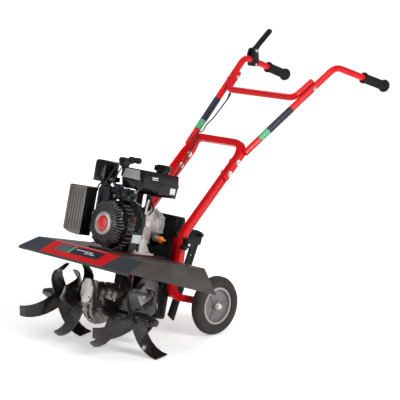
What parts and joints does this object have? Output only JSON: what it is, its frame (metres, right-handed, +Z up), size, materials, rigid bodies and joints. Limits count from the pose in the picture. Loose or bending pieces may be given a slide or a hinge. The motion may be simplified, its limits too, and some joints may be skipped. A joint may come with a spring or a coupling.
{
  "type": "garden tiller",
  "caption": "Front-tine garden tiller with a small petrol engine, worm gearbox, curved tines, tube handlebar, transport wheels and a drag stake.",
  "frame": {"origin": "centre of the bounding box, on the ground", "axes": "+Z up, -Y towards the tines, +Y towards the operator, +X towards the side with the fuel cap and the carrier knob"},
  "size_m": [0.598, 1.424, 1.0334],
  "materials": {
    "red_paint": "gloss",
    "black_paint": "satin",
    "shield_paint": "satin",
    "tine_paint": "satin",
    "heat_paint": "satin",
    "steel": "satin",
    "zinc": "bright",
    "casting": "cast",
    "bronze": "satin",
    "black_plastic": "gloss",
    "red_plastic": "gloss",
    "orange_plastic": "matte",
    "rim_plastic": "matte",
    "tyre": "matte",
    "grip_rubber": "matte",
    "cord_black": "matte"
  },
  "bodies": {
    "frame": {"lower_handle": "red_paint", "upper_handle_left": "red_paint", "upper_handle_right": "red_paint", "handle_brace": "red_paint", "grip_left": "grip_rubber", "grip_right": "grip_rubber", "handle_bolts_left": "zinc", "handle_bolts_right": "zinc", "lever_bracket": "black_plastic", "clutch_cable": "cord_black", "engine_frame": "red_paint", "shield": "shield_paint", "wheel_carrier": "red_paint", "stake_bracket": "black_paint", "wheel_bolt_left": "zinc", "wheel_bolt_right": "zinc", "gearbox_left": "casting", "gearbox_right": "casting", "gearbox_cap": "casting", "gearbox_hanger": "black_paint", "belt_cover": "black_paint", "drive_belt": "cord_black", "crankcase": "casting", "cylinder": "casting", "blower_housing": "black_plastic", "recoil_cover": "black_plastic", "starter_rope": "cord_black", "fuel_tank": "black_plastic", "air_cleaner": "black_plastic", "carburetor": "casting", "muffler": "steel", "muffler_shield": "heat_paint", "spark_plug": "cord_black"},
    "tines": {"tine_shaft": "steel", "worm_wheel": "bronze", "tine_outer_left": "tine_paint", "tine_inner_left": "tine_paint", "tine_inner_right": "tine_paint", "tine_outer_right": "tine_paint"},
    "worm": {"worm_shaft": "steel", "driven_pulley": "steel"},
    "crank": {"crankshaft": "steel", "drive_pulley": "steel", "flywheel": "casting"},
    "idler": {"idler_arm": "steel"},
    "idler_wheel": {"idler_pulley": "steel"},
    "clutch": {"clutch_lever": "black_plastic"},
    "wheel_left": {"tyre_left": "tyre", "rim_left": "rim_plastic"},
    "wheel_right": {"tyre_right": "tyre", "rim_right": "rim_plastic"},
    "stake": {"drag_stake": "black_paint"},
    "knob": {"carrier_knob": "black_plastic"},
    "starter": {"starter_handle": "black_plastic"},
    "cap": {"fuel_cap": "black_plastic"},
    "choke": {"choke_lever": "black_plastic"},
    "throttle": {"throttle_lever": "black_plastic"},
    "valve": {"fuel_valve": "black_plastic"},
    "switch": {"stop_switch": "red_plastic"},
    "dip": {"dipstick": "orange_plastic"}
  },
  "joints": [
    {"name": "tine_spin", "type": "hinge", "parent": "frame", "child": "tines", "pos_m": [0, -0.5701, 0.1419], "axis": [1, 0, 0], "continuous": true},
    {"name": "worm_spin", "type": "hinge", "parent": "frame", "child": "worm", "pos_m": [0, -0.55597, 0.19815], "axis": [0, 0.9699, -0.2436], "continuous": true},
    {"name": "crank_spin", "type": "hinge", "parent": "frame", "child": "crank", "pos_m": [0, -0.49775, 0.42995], "axis": [0, 0.9699, -0.2436], "continuous": true},
    {"name": "idler_swing", "type": "hinge", "parent": "frame", "child": "idler", "pos_m": [-0.058, -0.27538, 0.39575], "axis": [0, 0.9699, -0.2436], "range_deg": [0, 3.5]},
    {"name": "idler_spin", "type": "hinge", "parent": "idler", "child": "idler_wheel", "pos_m": [-0.022, -0.29104, 0.26771], "axis": [0, 0.9699, -0.2436], "continuous": true},
    {"name": "clutch_squeeze", "type": "hinge", "parent": "frame", "child": "clutch", "pos_m": [-0.241, 0.4819, 0.9539], "axis": [-1, 0, 0], "range_deg": [0, 44], "stiffness_Nm_per_rad": 1, "springref_deg": -11.46},
    {"name": "wheel_left_spin", "type": "hinge", "parent": "frame", "child": "wheel_left", "pos_m": [0.19, -0.1761, 0.108], "axis": [1, 0, 0], "continuous": true},
    {"name": "wheel_right_spin", "type": "hinge", "parent": "frame", "child": "wheel_right", "pos_m": [-0.19, -0.1761, 0.108], "axis": [1, 0, 0], "continuous": true},
    {"name": "stake_depth", "type": "slide", "parent": "frame", "child": "stake", "axis": [0, 0.4319, 0.9019], "range_m": [0, 0.082]},
    {"name": "carrier_knob_turn", "type": "hinge", "parent": "frame", "child": "knob", "pos_m": [0.145, -0.2746, 0.3439], "axis": [1, 0, 0], "continuous": true},
    {"name": "starter_pull", "type": "slide", "parent": "frame", "child": "starter", "axis": [0, 0.9403, 0.3404], "range_m": [0, 0.5], "stiffness_N_per_m": 20, "springref_m": -0.05},
    {"name": "fuel_cap_turn", "type": "hinge", "parent": "frame", "child": "cap", "pos_m": [0.04, -0.28824, 0.60726], "axis": [0, 0.2436, 0.9699], "range_deg": [0, 90]},
    {"name": "choke_turn", "type": "hinge", "parent": "frame", "child": "choke", "pos_m": [-0.02, -0.45373, 0.53953], "axis": [0, 0.9699, -0.2436], "range_deg": [0, 60]},
    {"name": "throttle_turn", "type": "hinge", "parent": "frame", "child": "throttle", "pos_m": [0.03, -0.45373, 0.53953], "axis": [0, 0.9699, -0.2436], "range_deg": [0, 50]},
    {"name": "fuel_valve_turn", "type": "hinge", "parent": "frame", "child": "valve", "pos_m": [0.058, -0.45665, 0.52789], "axis": [0, 0.9699, -0.2436], "range_deg": [0, 90]},
    {"name": "stop_switch_turn", "type": "hinge", "parent": "frame", "child": "switch", "pos_m": [0.094, -0.48001, 0.45952], "axis": [1, 0, 0], "range_deg": [0, 60]},
    {"name": "dipstick_turn", "type": "hinge", "parent": "frame", "child": "dip", "pos_m": [0.064, -0.32635, 0.357], "axis": [1, 0, 0], "continuous": true}
  ],
  "couplings": [
    {"joint": "worm_spin", "follows": "tine_spin", "ratio": 15},
    {"joint": "idler_swing", "follows": "clutch_squeeze", "ratio": 0.0773}
  ]
}
